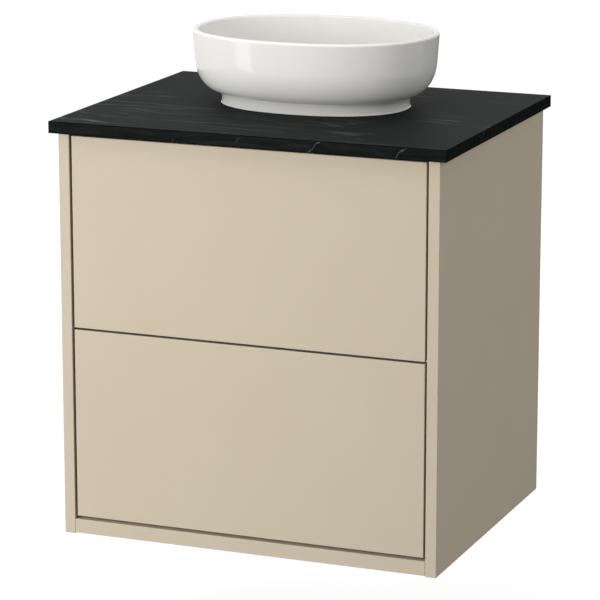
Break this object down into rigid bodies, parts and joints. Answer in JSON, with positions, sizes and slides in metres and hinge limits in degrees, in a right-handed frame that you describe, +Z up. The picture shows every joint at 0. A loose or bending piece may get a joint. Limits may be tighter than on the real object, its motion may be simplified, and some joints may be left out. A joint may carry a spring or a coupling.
{
  "type": "bathroom vanity unit",
  "caption": "Wall-hung bathroom vanity unit with handle-less push-to-open drawers, a dark worktop and an oval countertop basin with its waste and trap.",
  "frame": {"origin": "middle of the footprint at the cabinet's underside", "axes": "+X to the right seen from the front, +Y back towards the wall, +Z up"},
  "size_m": [0.62, 0.49, 0.748],
  "materials": {
    "beige_foil": "matt",
    "white_board": "matt",
    "grey_board": "matt",
    "beech": "raw",
    "marble_laminate": "satin",
    "white_glaze": "gloss",
    "zinc_steel": "satin",
    "bearing_steel": "polished",
    "chrome": "polished",
    "white_plastic": "satin",
    "grey_plastic": "satin",
    "black_rubber": "matt"
  },
  "bodies": {
    "cabinet": {"left_side_panel": "beige_foil", "right_side_panel": "beige_foil", "bottom_panel": "beige_foil", "top_front_rail": "white_board", "top_back_rail": "white_board", "lower_back_rail": "white_board", "carcass_dowels": "beech", "cam_bolts": "zinc_steel", "cam_locks": "zinc_steel", "worktop": "marble_laminate", "worktop_screws": "zinc_steel", "hanging_brackets": "zinc_steel", "basin": "white_glaze", "waste_body": "chrome", "stem_guide": "chrome", "waste_seals": "black_rubber", "waste_nut": "white_plastic", "inlet_pipe": "white_plastic", "rear_pipe": "white_plastic", "trap_body": "white_plastic", "trap_cup": "white_plastic", "outlet_pipe": "white_plastic", "trap_nuts": "white_plastic", "runner_screws": "zinc_steel", "push_latch_housings": "grey_plastic", "upper_left_cabinet_rail": "zinc_steel", "upper_right_cabinet_rail": "zinc_steel", "lower_left_cabinet_rail": "zinc_steel", "lower_right_cabinet_rail": "zinc_steel"},
    "upper_drawer": {"upper_left_drawer_rail": "zinc_steel", "upper_drawer_left_side": "grey_board", "upper_right_drawer_rail": "zinc_steel", "upper_drawer_right_side": "grey_board", "upper_drawer_front": "beige_foil", "upper_drawer_inner_front": "grey_board", "upper_drawer_back": "grey_board", "upper_drawer_base": "grey_board", "upper_front_screws": "zinc_steel", "upper_drawer_screws": "zinc_steel"},
    "upper_middle_rails": {"upper_left_middle_rail": "zinc_steel", "upper_right_middle_rail": "zinc_steel"},
    "upper_outer_cage": {"upper_outer_cages": "bearing_steel"},
    "upper_inner_cage": {"upper_inner_cages": "bearing_steel"},
    "upper_plungers": {"upper_push_plungers": "grey_plastic"},
    "lower_drawer": {"lower_left_drawer_rail": "zinc_steel", "lower_drawer_left_side": "grey_board", "lower_right_drawer_rail": "zinc_steel", "lower_drawer_right_side": "grey_board", "lower_drawer_front": "beige_foil", "lower_drawer_inner_front": "grey_board", "lower_drawer_back": "grey_board", "lower_drawer_base": "grey_board", "lower_front_screws": "zinc_steel", "lower_drawer_screws": "zinc_steel"},
    "lower_middle_rails": {"lower_left_middle_rail": "zinc_steel", "lower_right_middle_rail": "zinc_steel"},
    "lower_outer_cage": {"lower_outer_cages": "bearing_steel"},
    "lower_inner_cage": {"lower_inner_cages": "bearing_steel"},
    "lower_plungers": {"lower_push_plungers": "grey_plastic"},
    "plug": {"waste_plug": "chrome"}
  },
  "joints": [
    {"name": "upper_drawer_slide", "type": "slide", "parent": "cabinet", "child": "upper_drawer", "axis": [0, -1, 0], "range_m": [-0.0025, 0.36]},
    {"name": "upper_middle_slide", "type": "slide", "parent": "cabinet", "child": "upper_middle_rails", "axis": [0, -1, 0], "range_m": [-0.00135, 0.1801]},
    {"name": "upper_outer_cage_roll", "type": "slide", "parent": "cabinet", "child": "upper_outer_cage", "axis": [0, -1, 0], "range_m": [-0.00072, 0.0901]},
    {"name": "upper_inner_cage_roll", "type": "slide", "parent": "cabinet", "child": "upper_inner_cage", "axis": [0, -1, 0], "range_m": [-0.00198, 0.2701]},
    {"name": "upper_plunger_push", "type": "slide", "parent": "cabinet", "child": "upper_plungers", "axis": [0, -1, 0], "range_m": [-0.00034, 0.03509]},
    {"name": "lower_drawer_slide", "type": "slide", "parent": "cabinet", "child": "lower_drawer", "axis": [0, -1, 0], "range_m": [-0.0025, 0.36]},
    {"name": "lower_middle_slide", "type": "slide", "parent": "cabinet", "child": "lower_middle_rails", "axis": [0, -1, 0], "range_m": [-0.00135, 0.1801]},
    {"name": "lower_outer_cage_roll", "type": "slide", "parent": "cabinet", "child": "lower_outer_cage", "axis": [0, -1, 0], "range_m": [-0.00072, 0.0901]},
    {"name": "lower_inner_cage_roll", "type": "slide", "parent": "cabinet", "child": "lower_inner_cage", "axis": [0, -1, 0], "range_m": [-0.00198, 0.2701]},
    {"name": "lower_plunger_push", "type": "slide", "parent": "cabinet", "child": "lower_plungers", "axis": [0, -1, 0], "range_m": [-0.00034, 0.03509]},
    {"name": "waste_plug_lift", "type": "slide", "parent": "cabinet", "child": "plug", "axis": [0, 0, 1], "range_m": [0, 0.008]}
  ],
  "couplings": [
    {"joint": "upper_middle_slide", "follows": "upper_drawer_slide", "ratio": 0.5},
    {"joint": "upper_outer_cage_roll", "follows": "upper_drawer_slide", "ratio": 0.25},
    {"joint": "upper_inner_cage_roll", "follows": "upper_drawer_slide", "ratio": 0.75},
    {"joint": "upper_plunger_push", "follows": "upper_drawer_slide", "ratio": 0.0972},
    {"joint": "lower_middle_slide", "follows": "lower_drawer_slide", "ratio": 0.5},
    {"joint": "lower_outer_cage_roll", "follows": "lower_drawer_slide", "ratio": 0.25},
    {"joint": "lower_inner_cage_roll", "follows": "lower_drawer_slide", "ratio": 0.75},
    {"joint": "lower_plunger_push", "follows": "lower_drawer_slide", "ratio": 0.0972}
  ]
}
